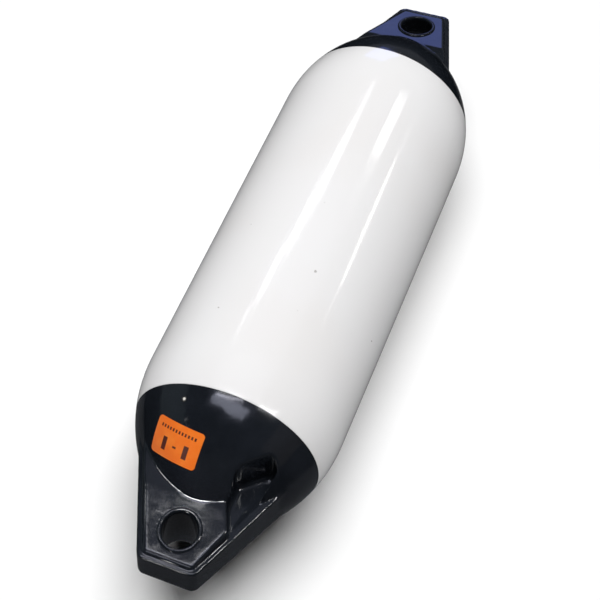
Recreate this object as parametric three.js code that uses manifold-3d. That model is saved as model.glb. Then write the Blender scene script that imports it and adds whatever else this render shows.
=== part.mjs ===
// Boat fender: a white vinyl barrel closed by two dark moulded end caps, each with one rope eye.
// The barrel's axis is X, the labelled front cap is at -X, and the rope eyes lie flat, with +Z up.
// Every length is in millimetres. A cap is drawn with its own axis along +X and then turned.
import * as THREE from 'three'
import { mergeVertices } from 'three/addons/utils/BufferGeometryUtils.js'
import Module from 'manifold-3d'

const wasm = await Module()
wasm.setup()

// Barrel, and the rounded end that barrel and cap share
const BODY_RADIUS = 57.5
const STRAIGHT_HALF = 101
const END_LENGTH = 83
const END_FULLNESS = 2.17
const END_TAPER = 0.705
const SHOULDER_LENGTH = 29.5
const WALL = 3.2

// Rope eye: a flat flange whose sides run from the tip to where they meet the dome
const EYE_BEYOND_DOME = 29
const FLANGE_TIP_WIDTH = 31.7
const FLANGE_TIP_THICKNESS = 19
const FLANGE_REACH = 57.35
const FLANGE_SHORT_REACH = 47
const FLANGE_SLOPE = THREE.MathUtils.degToRad(2.6)
const FLANGE_CORNER = 3
const FLANGE_EDGE = 1.5

// Rope eye: the wedge that stands proud of both faces of the flange, and levels out near the dome
const WEDGE_INSET = 3.2
const WEDGE_SETBACK = 2.6
const WEDGE_TIP_THICKNESS = 21.5
const WEDGE_SLOPE = THREE.MathUtils.degToRad(12.5)
const WEDGE_REACH = 37.1
const WEDGE_CORNER = 2
const WEDGE_EDGE = 0.8

// Rope hole, and the rounded bead round its mouth
const HOLE_DIAMETER = 18.6
const HOLE_FROM_TIP = 19.3
const BEAD_WIDTH = 2.6
const BEAD_HEIGHT = 0.9
const BEAD_DEPTH = 1.6

// Recess beside the front rope eye, with distances back from the eye's tip
const RECESS_START = 26
const RECESS_NECK = 40.4
const RECESS_BEND = 55
const RECESS_END = 68.4
const RECESS_HEEL = 64.5
const RECESS_INNER = 17
const RECESS_SHOULDER = 31.5
const RECESS_OUTER = 36.2
const RECESS_FLOOR = 10
const RECESS_CORNER = 2.5
const RECESS_NECK_CORNER = 0.5

// Rear cap's rope eye is turned a little about the barrel's axis, and its -Y side flares less
const REAR_TWIST = THREE.MathUtils.degToRad(-6)

// Solid vinyl behind each rope eye starts this far in from the seam
const CAVITY_DEPTH = 27

// Size label on the front dome: place from the seam and above the wedge, then its own turn
const LABEL_LENGTH = 30
const LABEL_HEIGHT = 20
const LABEL_CORNER = 2
const LABEL_THICKNESS = 0.3
const LABEL_FROM_SEAM = 27
const LABEL_ABOVE_WEDGE = 15.6
const LABEL_TURN = THREE.MathUtils.degToRad(-19.5)

// Needle valve in the front dome
const VALVE_DIAMETER = 3.2
const VALVE_BULB_DIAMETER = 6.4
const VALVE_BULB_LENGTH = 3
const VALVE_BORE = 0.9
const VALVE_FROM_SEAM = 7.5
const VALVE_ANGLE = THREE.MathUtils.degToRad(24.5)

// Gap kept between curved faces that meet, and how far a cutter runs past what it cuts
const CLEARANCE = 0.3
const OVERRUN = 1

// How finely curves are divided
const ROUND_STEPS = 72
const END_STEPS = 7
const HOLE_STEPS = 32
const BEAD_STEPS = 3

// Places worked out from the sizes above
const SEAM_X = STRAIGHT_HALF + SHOULDER_LENGTH
const POLE_X = STRAIGHT_HALF + END_LENGTH
const TIP_X = POLE_X + EYE_BEYOND_DOME
const WEDGE_TIP_X = TIP_X - WEDGE_SETBACK
const HOLE_X = TIP_X - HOLE_FROM_TIP

const WHITE_VINYL = new THREE.MeshStandardMaterial({ color: 0xeeecee, roughness: 0.22 })
const NAVY_VINYL = new THREE.MeshStandardMaterial({ color: 0x1a2030, roughness: 0.28 })
const ORANGE_PAPER = new THREE.MeshStandardMaterial({ color: 0xe8742a, roughness: 0.55 })
const VALVE_RUBBER = new THREE.MeshStandardMaterial({ color: 0x3a3838, roughness: 0.5 })

// Radius of the rounded end at a distance from the fender's middle
function endRadius(along) {
  const share = THREE.MathUtils.clamp((along - STRAIGHT_HALF) / END_LENGTH, 0, 1)
  return BODY_RADIUS * (1 - share ** END_FULLNESS) ** END_TAPER
}

// Outward normal of the rounded end's profile, as (radial, axial)
function endNormal(along) {
  const step = 0.05
  const slope = (endRadius(along + step) - endRadius(along - step)) / (2 * step)
  return new THREE.Vector2(1, -slope).normalize()
}

// Point of the profile, moved out along its normal, as (radius, distance along)
function endPoint(along, offset = 0) {
  return new THREE.Vector2(endRadius(along), along).addScaledVector(endNormal(along), offset)
}

// Profile of the rounded end between two distances, closest where it curves most
function endProfile(from, to, steps, offset = 0) {
  const points = []
  for (let i = 0; i <= steps; i += 1) {
    const along = from + (to - from) * Math.sin((i / steps) * (Math.PI / 2))
    points.push(endPoint(along, offset))
  }
  return points
}

// Turns a profile of (radius, distance along X) about the X axis
function revolve(profile, steps = ROUND_STEPS) {
  return new THREE.LatheGeometry(profile, steps).rotateZ(-Math.PI / 2)
}

// Outline through corners of (x, y, radius), each rounded by its own radius
function roundedOutline(corners) {
  const shape = new THREE.Shape()
  const places = corners.map(([x, y]) => new THREE.Vector2(x, y))
  places.forEach((here, i) => {
    const before = places.at(i - 1).clone().sub(here).normalize()
    const after = places[(i + 1) % places.length].clone().sub(here).normalize()
    const radius = corners[i][2]
    const reach = radius / Math.tan(Math.acos(before.dot(after)) / 2)
    const start = here.clone().addScaledVector(before, reach)
    const end = here.clone().addScaledVector(after, reach)
    if (i === 0) shape.moveTo(start.x, start.y)
    else shape.lineTo(start.x, start.y)
    if (radius > 0) shape.quadraticCurveTo(here.x, here.y, end.x, end.y)
  })
  shape.closePath()
  return shape
}

// Prism over an outline in the XY plane, between two heights
function prism(shape, low, high) {
  const options = { depth: high - low, bevelEnabled: false, curveSegments: 4 }
  return new THREE.ExtrudeGeometry(shape, options).translate(0, 0, low)
}

// Prism over an outline of (x, z), running the given width either side of the XZ plane
function sidePrism(shape, reach) {
  return prism(shape, -reach, reach).rotateX(Math.PI / 2)
}

// Closed three.js geometry as a solid that can be joined and cut
function toSolid(geometry) {
  const bare = geometry.clone()
  bare.deleteAttribute('normal')
  bare.deleteAttribute('uv')
  const merged = mergeVertices(bare)
  return new wasm.Manifold(new wasm.Mesh({
    numProp: 3,
    vertProperties: new Float32Array(merged.attributes.position.array),
    triVerts: new Uint32Array(merged.index.array),
  }))
}

function toGeometry(solid) {
  const mesh = solid.getMesh()
  const geometry = new THREE.BufferGeometry()
  geometry.setAttribute('position', new THREE.BufferAttribute(mesh.vertProperties, 3))
  geometry.setIndex(new THREE.BufferAttribute(mesh.triVerts, 1))
  return geometry
}

// Half-width of a flange side that meets the dome at a reach from the tip
function flangeHalfWidth(along, reach = FLANGE_REACH) {
  const tipHalfWidth = FLANGE_TIP_WIDTH / 2
  const flare = (endRadius(TIP_X - reach) - tipHalfWidth) / reach
  return tipHalfWidth + (TIP_X - along) * flare
}

// Half-width of the wedge, which follows the flange
function wedgeHalfWidth(along, reach = FLANGE_REACH) {
  return flangeHalfWidth(along, reach) - WEDGE_INSET
}

// Half-thickness of the wedge where it is level
function wedgeRootHalfThickness() {
  return endRadius(TIP_X - WEDGE_REACH)
}

// Half-thickness of the wedge at a distance from the fender's middle
function wedgeHalfThickness(along) {
  const sloped = WEDGE_TIP_THICKNESS / 2 + (WEDGE_TIP_X - along) * Math.tan(WEDGE_SLOPE)
  return Math.min(sloped, wedgeRootHalfThickness())
}

// Half outline's corners mirrored across its long axis, in reverse order
function mirrorCorners(half) {
  return half.toReversed().map(([along, across, radius]) => [along, -across, radius])
}

// Slab with one outline seen from above, by its two sides, and another seen from the side
function slab(negativeSide, positiveSide, lowerHalf) {
  const reach = (half) => OVERRUN + Math.max(...half.map(([, across]) => Math.abs(across)))
  const wide = Math.max(reach(negativeSide), reach(positiveSide))
  const plan = [...negativeSide, ...positiveSide.toReversed()]
  const above = prism(roundedOutline(plan), -reach(lowerHalf), reach(lowerHalf))
  const beside = sidePrism(roundedOutline([...lowerHalf, ...mirrorCorners(lowerHalf)]), wide)
  return toSolid(above).intersect(toSolid(beside))
}

// Flat flange of the rope eye, from the seam to the tip, with the reach of its -Y side
function flange(negativeReach) {
  const tipHalfWidth = FLANGE_TIP_WIDTH / 2
  const tipHalf = FLANGE_TIP_THICKNESS / 2
  const rootHalf = tipHalf + (TIP_X - SEAM_X) * Math.tan(FLANGE_SLOPE)
  return slab(
    [[SEAM_X, -flangeHalfWidth(SEAM_X, negativeReach), 0], [TIP_X, -tipHalfWidth, FLANGE_CORNER]],
    [[SEAM_X, flangeHalfWidth(SEAM_X), 0], [TIP_X, tipHalfWidth, FLANGE_CORNER]],
    [[SEAM_X, -rootHalf, 0], [TIP_X, -tipHalf, FLANGE_EDGE]],
  )
}

// Wedge that stands proud of both faces of the flange, with the reach of its -Y side
function wedge(negativeReach) {
  const rootHalf = wedgeRootHalfThickness()
  const tipHalf = WEDGE_TIP_THICKNESS / 2
  const bendX = WEDGE_TIP_X - (rootHalf - tipHalf) / Math.tan(WEDGE_SLOPE)
  const [rootNegative, tipNegative] = [SEAM_X, WEDGE_TIP_X].map((x) => -wedgeHalfWidth(x, negativeReach))
  const [rootPositive, tipPositive] = [SEAM_X, WEDGE_TIP_X].map((x) => wedgeHalfWidth(x))
  return slab(
    [[SEAM_X, rootNegative, 0], [WEDGE_TIP_X, tipNegative, WEDGE_CORNER]],
    [[SEAM_X, rootPositive, 0], [WEDGE_TIP_X, tipPositive, WEDGE_CORNER]],
    [[SEAM_X, -rootHalf, 0], [bendX, -rootHalf, 0], [WEDGE_TIP_X, -tipHalf, WEDGE_EDGE]],
  )
}

// Places a geometry drawn round +Z on the upper face of the wedge, square to that face
function onWedgeFace(geometry) {
  return geometry.rotateY(WEDGE_SLOPE).translate(HOLE_X, 0, wedgeHalfThickness(HOLE_X))
}

// Profile turned about Z
function revolveUpright(profile) {
  return new THREE.LatheGeometry(profile, HOLE_STEPS).rotateX(Math.PI / 2)
}

// Raised bead round the upper mouth of the rope hole, still without its bore
function bead() {
  const outer = HOLE_DIAMETER / 2 + BEAD_WIDTH
  const crown = HOLE_DIAMETER / 2 + BEAD_WIDTH / 2
  const profile = [new THREE.Vector2(0, -BEAD_DEPTH), new THREE.Vector2(outer, -BEAD_DEPTH)]
  for (let i = 0; i <= BEAD_STEPS; i += 1) {
    const turn = (i / BEAD_STEPS) * (Math.PI / 2)
    profile.push(new THREE.Vector2(
      crown + (outer - crown) * Math.cos(turn),
      BEAD_HEIGHT * Math.sin(turn),
    ))
  }
  profile.push(new THREE.Vector2(0, BEAD_HEIGHT))
  return toSolid(onWedgeFace(revolveUpright(profile)))
}

// Cutter that rounds the bead over into the bore
function mouth() {
  const bore = HOLE_DIAMETER / 2
  const width = BEAD_WIDTH / 2
  const drop = BEAD_HEIGHT + BEAD_DEPTH
  const profile = [new THREE.Vector2(0, -BEAD_DEPTH)]
  for (let i = 0; i <= BEAD_STEPS; i += 1) {
    const turn = (i / BEAD_STEPS) * (Math.PI / 2)
    profile.push(new THREE.Vector2(
      bore + width * (1 - Math.cos(turn)),
      -BEAD_DEPTH + drop * Math.sin(turn),
    ))
  }
  profile.push(new THREE.Vector2(bore + width, 2 * drop), new THREE.Vector2(0, 2 * drop))
  return toSolid(onWedgeFace(revolveUpright(profile)))
}

// The same solid below the XY plane
function lower(solid) {
  return solid.rotate([180, 0, 0])
}

// Inner edge of the recess, from the wedge's side edge to its far end
function recessEdge() {
  const startX = TIP_X - RECESS_START
  return [
    [startX, wedgeHalfWidth(startX), 0],
    [TIP_X - RECESS_NECK, RECESS_INNER, RECESS_NECK_CORNER],
    [TIP_X - RECESS_BEND, RECESS_INNER, RECESS_CORNER],
  ]
}

// Recess sunk into the flange and the dome beside the rope eye
function recess() {
  const outline = roundedOutline([
    ...recessEdge(),
    [TIP_X - RECESS_END, RECESS_SHOULDER, RECESS_CORNER],
    [TIP_X - RECESS_HEEL, RECESS_OUTER, RECESS_CORNER],
  ])
  return toSolid(prism(outline, RECESS_FLOOR, BODY_RADIUS))
}

// What the recess takes off the upper half of the wedge, out to its side and back to the seam
function wedgeRelief() {
  const [start, neck] = recessEdge()
  const side = flangeHalfWidth(SEAM_X)
  const backX = SEAM_X - OVERRUN
  const outline = [start, neck, [backX, RECESS_INNER, 0], [backX, side, 0], [start[0], side, 0]]
  return toSolid(prism(roundedOutline(outline), 0, BODY_RADIUS))
}

// Air space inside a cap, which opens towards the barrel
function cavity() {
  const floorX = SEAM_X + CAVITY_DEPTH
  const mouthRadius = endRadius(SEAM_X) - WALL
  const profile = [
    new THREE.Vector2(0, SEAM_X - WALL),
    new THREE.Vector2(mouthRadius, SEAM_X - WALL),
    new THREE.Vector2(mouthRadius, SEAM_X),
    ...endProfile(SEAM_X + OVERRUN, floorX, END_STEPS, -WALL),
  ]
  profile.push(new THREE.Vector2(0, profile.at(-1).y))
  return toSolid(revolve(profile))
}

// Block of the air space that the recess and the wall round it take up
function recessWall() {
  const fromX = TIP_X - RECESS_END - WALL
  const shape = new THREE.Shape()
  shape.moveTo(fromX, RECESS_INNER - WALL)
  shape.lineTo(TIP_X, RECESS_INNER - WALL)
  shape.lineTo(TIP_X, BODY_RADIUS)
  shape.lineTo(fromX, BODY_RADIUS)
  shape.closePath()
  return toSolid(prism(shape, RECESS_FLOOR - WALL, BODY_RADIUS))
}

// Places a geometry drawn round +Z square on the dome, at an angle round from the top
function onDome(geometry, fromSeam, angle) {
  const point = endPoint(SEAM_X + fromSeam)
  const normal = endNormal(SEAM_X + fromSeam)
  return geometry
    .rotateY(Math.atan2(normal.y, normal.x))
    .translate(point.y, 0, point.x)
    .rotateX(angle)
}

// End cap with its axis along +X: hollow dome, rope eye turned by the twist, and recess if asked
function capSolid({ twist, negativeReach, withRecess }) {
  const dome = [new THREE.Vector2(0, SEAM_X), ...endProfile(SEAM_X, POLE_X, 2 * END_STEPS)]
  const bore = new THREE.CylinderGeometry(HOLE_DIAMETER / 2, HOLE_DIAMETER / 2, 2 * BODY_RADIUS, HOLE_STEPS)
  const throughHole = toSolid(bore.rotateX(Math.PI / 2).translate(HOLE_X, 0, 0))
  const plainWedge = wedge(negativeReach)
  const proud = withRecess ? plainWedge.subtract(wedgeRelief()) : plainWedge
  const eye = flange(negativeReach).add(proud).add(bead()).add(lower(bead()))
  const turn = [THREE.MathUtils.radToDeg(twist), 0, 0]
  const cuts = throughHole.add(mouth()).add(lower(mouth())).rotate(turn)
  const whole = toSolid(revolve(dome)).add(eye.rotate(turn)).subtract(cuts)
  if (!withRecess) return whole.subtract(cavity())
  return whole.subtract(recess()).subtract(cavity().subtract(recessWall()))
}

// White barrel: one shell with both shoulders, open at the two seams
function bodyGeometry() {
  const half = endProfile(STRAIGHT_HALF, SEAM_X, END_STEPS)
  const inner = endProfile(STRAIGHT_HALF, SEAM_X, END_STEPS, -WALL)
  inner[inner.length - 1] = new THREE.Vector2(endRadius(SEAM_X) - WALL, SEAM_X)
  const mirrored = (points) => points.map(({ x, y }) => new THREE.Vector2(x, -y)).reverse()
  const outside = [...mirrored(half), ...half]
  const inside = [...mirrored(inner), ...inner].reverse()
  return revolve([...outside, ...inside, outside[0]])
}

// Front cap, with the recess and the hole that holds the valve
function frontCapGeometry() {
  const radius = VALVE_DIAMETER / 2 + CLEARANCE
  const hole = new THREE.CylinderGeometry(radius, radius, 4 * WALL, HOLE_STEPS / 2).rotateX(Math.PI / 2)
  const valveHole = toSolid(onDome(hole, VALVE_FROM_SEAM, VALVE_ANGLE))
  const whole = capSolid({ twist: 0, negativeReach: FLANGE_REACH, withRecess: true })
  const solid = whole.subtract(valveHole)
  return toGeometry(solid).rotateZ(Math.PI)
}

function rearCapGeometry() {
  const options = { twist: REAR_TWIST, negativeReach: FLANGE_SHORT_REACH, withRecess: false }
  return toGeometry(capSolid(options))
}

// Label: a thin skin that follows the dome, cut to a rounded rectangle
function labelGeometry() {
  const layer = (offset) => toSolid(revolve([
    new THREE.Vector2(0, SEAM_X),
    ...endProfile(SEAM_X, POLE_X - WALL, 4 * END_STEPS, offset),
    new THREE.Vector2(0, POLE_X),
  ]))
  const [x, y] = [LABEL_HEIGHT / 2, LABEL_LENGTH / 2]
  const outline = roundedOutline([
    [-x, -y, LABEL_CORNER],
    [x, -y, LABEL_CORNER],
    [x, y, LABEL_CORNER],
    [-x, y, LABEL_CORNER],
  ])
  const sheet = prism(outline, -LABEL_HEIGHT / 2, LABEL_HEIGHT / 2).rotateZ(LABEL_TURN)
  const height = wedgeRootHalfThickness() + LABEL_ABOVE_WEDGE
  const angle = Math.acos(height / endRadius(SEAM_X + LABEL_FROM_SEAM))
  const cutter = toSolid(onDome(sheet, LABEL_FROM_SEAM, angle))
  const skin = layer(CLEARANCE + LABEL_THICKNESS).subtract(layer(CLEARANCE))
  return toGeometry(skin.intersect(cutter)).rotateZ(Math.PI)
}

// Valve: a rubber needle valve with its bulb inside the cap's wall
function valveGeometry() {
  const neckEnd = -(WALL + 2 * CLEARANCE)
  const profile = [
    [VALVE_BORE / 2, neckEnd - VALVE_BULB_LENGTH],
    [VALVE_BULB_DIAMETER / 2, neckEnd - VALVE_BULB_LENGTH],
    [VALVE_BULB_DIAMETER / 2, neckEnd],
    [VALVE_DIAMETER / 2, neckEnd],
    [VALVE_DIAMETER / 2, 0],
    [VALVE_BORE / 2, 0],
    [VALVE_BORE / 2, neckEnd - VALVE_BULB_LENGTH],
  ].map(([radius, height]) => new THREE.Vector2(radius, height))
  const upright = new THREE.LatheGeometry(profile, HOLE_STEPS / 2).rotateX(Math.PI / 2)
  return onDome(upright, VALVE_FROM_SEAM, VALVE_ANGLE).rotateZ(Math.PI)
}

function addMesh(group, name, geometry, material) {
  const mesh = new THREE.Mesh(geometry, material)
  mesh.name = name
  group.add(mesh)
}

const group = new THREE.Group()
addMesh(group, 'body_shell', bodyGeometry(), WHITE_VINYL)
addMesh(group, 'front_end_cap', frontCapGeometry(), NAVY_VINYL)
addMesh(group, 'rear_end_cap', rearCapGeometry(), NAVY_VINYL)
addMesh(group, 'size_label', labelGeometry(), ORANGE_PAPER)
addMesh(group, 'air_valve', valveGeometry(), VALVE_RUBBER)

// The fender lies on its barrel, so the ground is the XY plane
group.position.z = BODY_RADIUS

export default group
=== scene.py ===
"""Looks of a boat fender: a glossy white vinyl barrel between two dark moulded rope-eye caps.

The barrel lies along X on the floor, its labelled front cap is at -X, and every length is in metres.
"""

import logging
import math
from collections.abc import Sequence
from dataclasses import dataclass, field
from enum import Enum

import bmesh
import bpy
from mathutils import Matrix, Vector, noise

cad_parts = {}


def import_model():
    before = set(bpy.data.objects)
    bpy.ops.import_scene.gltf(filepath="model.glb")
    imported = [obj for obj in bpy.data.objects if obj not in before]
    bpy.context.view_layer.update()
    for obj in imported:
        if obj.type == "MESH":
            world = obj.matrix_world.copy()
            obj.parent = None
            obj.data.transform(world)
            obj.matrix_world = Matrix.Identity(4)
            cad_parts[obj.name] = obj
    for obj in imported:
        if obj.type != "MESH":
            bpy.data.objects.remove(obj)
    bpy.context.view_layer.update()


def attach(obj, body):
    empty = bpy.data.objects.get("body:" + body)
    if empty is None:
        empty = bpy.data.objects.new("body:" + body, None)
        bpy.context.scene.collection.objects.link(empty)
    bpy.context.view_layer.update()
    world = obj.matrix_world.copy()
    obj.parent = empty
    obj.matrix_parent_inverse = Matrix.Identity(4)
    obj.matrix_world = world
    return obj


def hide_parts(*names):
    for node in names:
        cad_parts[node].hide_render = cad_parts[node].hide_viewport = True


LOG = logging.getLogger("boat_fender")
MM = 0.001
MERGE = 0.0005 * MM
SAME_PLACE = 0.01 * MM
UPRIGHT_RISE = 0.5 * MM
SHARP_ANGLE = math.radians(30)
TUBE_HEIGHT = 1.557


class End(Enum):
    """The two ends of the fender, each with its sign along X."""

    FRONT = -1
    REAR = 1


class Join(Enum):
    """How one working solid changes another."""

    ADD = "UNION"
    CUT = "DIFFERENCE"
    KEEP = "INTERSECT"


@dataclass(frozen=True)
class RoundedEnd:
    """Rounded end of the fender, which the barrel's shoulder and the cap's dome share.

    Distances along are from the fender's middle, and radii are from its axis.
    """

    body_radius: float = 57.5 * MM
    straight_half: float = 101 * MM
    end_length: float = 83 * MM
    fullness: float = 2.17
    taper: float = 0.705
    seam: float = 130.5 * MM

    @property
    def pole(self) -> float:
        """Distance along at which the rounded end closes."""
        return self.straight_half + self.end_length

    def radius(self, along: float) -> float:
        """Radius of the rounded end.

        Args:
            along: Distance from the fender's middle.

        Returns:
            The outer radius there.
        """
        share = min(max((along - self.straight_half) / self.end_length, 0.0), 1.0)
        return self.body_radius * (1 - share**self.fullness) ** self.taper

    def normal(self, along: float) -> Vector:
        """Outward normal of the profile.

        Args:
            along: Distance from the fender's middle.

        Returns:
            The unit normal as (along, radial).
        """
        step = 0.05 * MM
        slope = (self.radius(along + step) - self.radius(along - step)) / (2 * step)
        return Vector((-slope, 1)).normalized()

    def profile(self, start: float, stop: float, steps: int, inset: float = 0.0) -> list[tuple[float, float]]:
        """Points of the profile, closest together where it curves most.

        Args:
            start: Distance along of the first point.
            stop: Distance along of the last point.
            steps: Number of spaces between points.
            inset: How far the points lie inside the surface.

        Returns:
            Points as (along, radius).
        """
        points = []
        for i in range(steps + 1):
            along = start + (stop - start) * math.sin(i / steps * math.pi / 2)
            normal = self.normal(along)
            points.append((along - normal.x * inset, max(self.radius(along) - normal.y * inset, 0.0)))
        return points


def spin_solid(points: Sequence[tuple[float, float]], steps: int, upright: bool = False) -> bmesh.types.BMesh:
    """Spins a closed outline of (along, radius) about its axis.

    Args:
        points: Outline, whose last point joins its first.
        steps: Number of steps round.
        upright: True to spin about Z instead of X.

    Returns:
        The closed solid.
    """
    bm = bmesh.new()
    if upright:
        verts = [bm.verts.new((radius, 0, along)) for along, radius in points]
    else:
        verts = [bm.verts.new((along, 0, radius)) for along, radius in points]
    for here, after in zip(verts, verts[1:] + verts[:1]):
        bm.edges.new((here, after))
    bmesh.ops.spin(
        bm,
        geom=bm.verts[:] + bm.edges[:],
        cent=(0, 0, 0),
        axis=(0, 0, 1) if upright else (1, 0, 0),
        angle=math.tau,
        steps=steps,
        use_merge=True,
        use_duplicate=False,
    )
    bmesh.ops.remove_doubles(bm, verts=bm.verts[:], dist=MERGE)
    bmesh.ops.dissolve_degenerate(bm, edges=bm.edges[:], dist=MERGE)
    bmesh.ops.recalc_face_normals(bm, faces=bm.faces[:])
    return bm


def bevel_edges(
    bm: bmesh.types.BMesh, edges: list[bmesh.types.BMEdge], width: float, segments: int = 5
) -> None:
    """Bevels edges to a round profile.

    Args:
        bm: Solid that the edges belong to.
        edges: Edges to bevel.
        width: Width of the bevel.
        segments: Number of faces across it.
    """
    bmesh.ops.bevel(
        bm, geom=edges, offset=width, offset_type="OFFSET", affect="EDGES",
        segments=segments, profile=0.5, material=-1, clamp_overlap=True,
    )


def round_corners(bm: bmesh.types.BMesh, corners: Sequence[tuple[Vector, float]]) -> None:
    """Rounds the upright edges of a prism that stand at given places.

    Args:
        bm: Prism along Z.
        corners: Places in the XY plane, each with its radius.
    """
    for place, radius in corners:
        edges = [
            e
            for e in bm.edges
            if abs(e.verts[0].co.z - e.verts[1].co.z) > UPRIGHT_RISE
            and all((v.co.xy - place).length < SAME_PLACE for v in e.verts)
        ]
        bevel_edges(bm, edges, radius)


def prism(outline: Sequence[tuple[float, float, float]], low: float, high: float) -> bmesh.types.BMesh:
    """Upright prism over an outline with rounded corners.

    Args:
        outline: Corners as (x, y, radius), in order round.
        low: Height of the lower face.
        high: Height of the upper face.

    Returns:
        The closed solid.
    """
    bm = bmesh.new()
    face = bm.faces.new([bm.verts.new((x, y, low)) for x, y, _ in outline])
    made = bmesh.ops.extrude_face_region(bm, geom=[face])
    raised = [g for g in made["geom"] if isinstance(g, bmesh.types.BMVert)]
    bmesh.ops.translate(bm, verts=raised, vec=(0, 0, high - low))
    bmesh.ops.recalc_face_normals(bm, faces=bm.faces[:])
    round_corners(bm, [(Vector((x, y)), radius) for x, y, radius in outline if radius > 0])
    return bm


def slope_faces(bm: bmesh.types.BMesh, tip: float, half: float, slope: float) -> None:
    """Cuts a prism's upper and lower faces to a wedge that is thinnest at its tip.

    Args:
        bm: Prism to cut.
        tip: Distance along of the tip.
        half: Half the thickness at the tip.
        slope: Angle of each face.
    """
    for side in (1, -1):
        geom = bm.verts[:] + bm.edges[:] + bm.faces[:]
        point = (tip, 0, side * half)
        normal = (math.sin(slope), 0, side * math.cos(slope))
        cut = bmesh.ops.bisect_plane(bm, geom=geom, plane_co=point, plane_no=normal, clear_outer=True)
        edges = [g for g in cut["geom_cut"] if isinstance(g, bmesh.types.BMEdge)]
        bmesh.ops.holes_fill(bm, edges=edges, sides=0)
    bmesh.ops.recalc_face_normals(bm, faces=bm.faces[:])


def soften_edges(bm: bmesh.types.BMesh, beyond: float, width: float) -> None:
    """Bevels a solid's sharp edges past a distance along X, except those already rounded.

    Args:
        bm: Solid to soften.
        beyond: Only edges wholly past this distance are bevelled.
        width: Width of the bevel.
    """
    edges = [
        e
        for e in bm.edges
        if min(v.co.x for v in e.verts) > beyond and e.is_manifold and e.calc_face_angle(0) > SHARP_ANGLE
    ]
    bevel_edges(bm, edges, width)


def show(bm: bmesh.types.BMesh, name: str) -> bpy.types.Object:
    """Turns a working mesh into an object at the origin and frees it.

    Args:
        bm: Working mesh.
        name: Name of the object.

    Returns:
        The object.
    """
    mesh = bpy.data.meshes.new(name)
    bm.to_mesh(mesh)
    bm.free()
    obj = bpy.data.objects.new(name, mesh)
    bpy.context.scene.collection.objects.link(obj)
    return obj


def drop(obj: bpy.types.Object) -> None:
    """Removes a working object and its mesh.

    Args:
        obj: Working object.
    """
    mesh = obj.data
    bpy.data.objects.remove(obj)
    bpy.data.meshes.remove(mesh)


def bake(obj: bpy.types.Object) -> bmesh.types.BMesh:
    """Applies an object's modifiers and removes it.

    Args:
        obj: Working object.

    Returns:
        Its finished mesh.
    """
    bpy.context.view_layer.update()
    mesh = bpy.data.meshes.new_from_object(obj.evaluated_get(bpy.context.evaluated_depsgraph_get()))
    bm = bmesh.new()
    bm.from_mesh(mesh)
    bpy.data.meshes.remove(mesh)
    drop(obj)
    return bm


def combine(base: bmesh.types.BMesh, changes: Sequence[tuple[Join, bmesh.types.BMesh]]) -> bmesh.types.BMesh:
    """Adds solids to a base and cuts others from it, in order.

    Args:
        base: First solid.
        changes: The other solids, each with how it changes the base.

    Returns:
        The combined solid.
    """
    body = show(base, "work_base")
    others = []
    for how, bm in changes:
        other = show(bm, "work_tool")
        modifier = body.modifiers.new(how.name.lower(), "BOOLEAN")
        modifier.operation = how.value
        modifier.solver = "EXACT"
        modifier.object = other
        others.append(other)
    result = bake(body)
    for other in others:
        drop(other)
    return result


def mould(bm: bmesh.types.BMesh, voxel: float, rounds: int) -> bmesh.types.BMesh:
    """Gives a solid one even skin whose edges and inner corners are rounded as in moulded vinyl.

    Args:
        bm: Sharp-edged solid.
        voxel: Size of the skin's faces.
        rounds: Number of smoothing rounds, which sets how round the edges are.

    Returns:
        The smooth solid.
    """
    work = show(bm, "work_mould")
    remesh = work.modifiers.new("skin", "REMESH")
    remesh.mode = "VOXEL"
    remesh.voxel_size = voxel
    remesh.adaptivity = 0
    smooth = work.modifiers.new("soften", "SMOOTH")
    smooth.factor = 0.5
    smooth.iterations = rounds
    return bake(work)


def finish_piece(
    bm: bmesh.types.BMesh, name: str, material: bpy.types.Material, smooth: bool = True
) -> bpy.types.Object:
    """Makes the finished piece, smooth-shaded, with one material, riding on the fender.

    Args:
        bm: Finished mesh, in place.
        name: Name of the piece.
        material: Its finish.
        smooth: Whether its faces are smooth-shaded.

    Returns:
        The piece.
    """
    for face in bm.faces:
        face.smooth = smooth
    piece = show(bm, name)
    piece.data.materials.append(material)
    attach(piece, "root")
    LOG.info("%s: %d faces", name, len(piece.data.polygons))
    return piece


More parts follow.
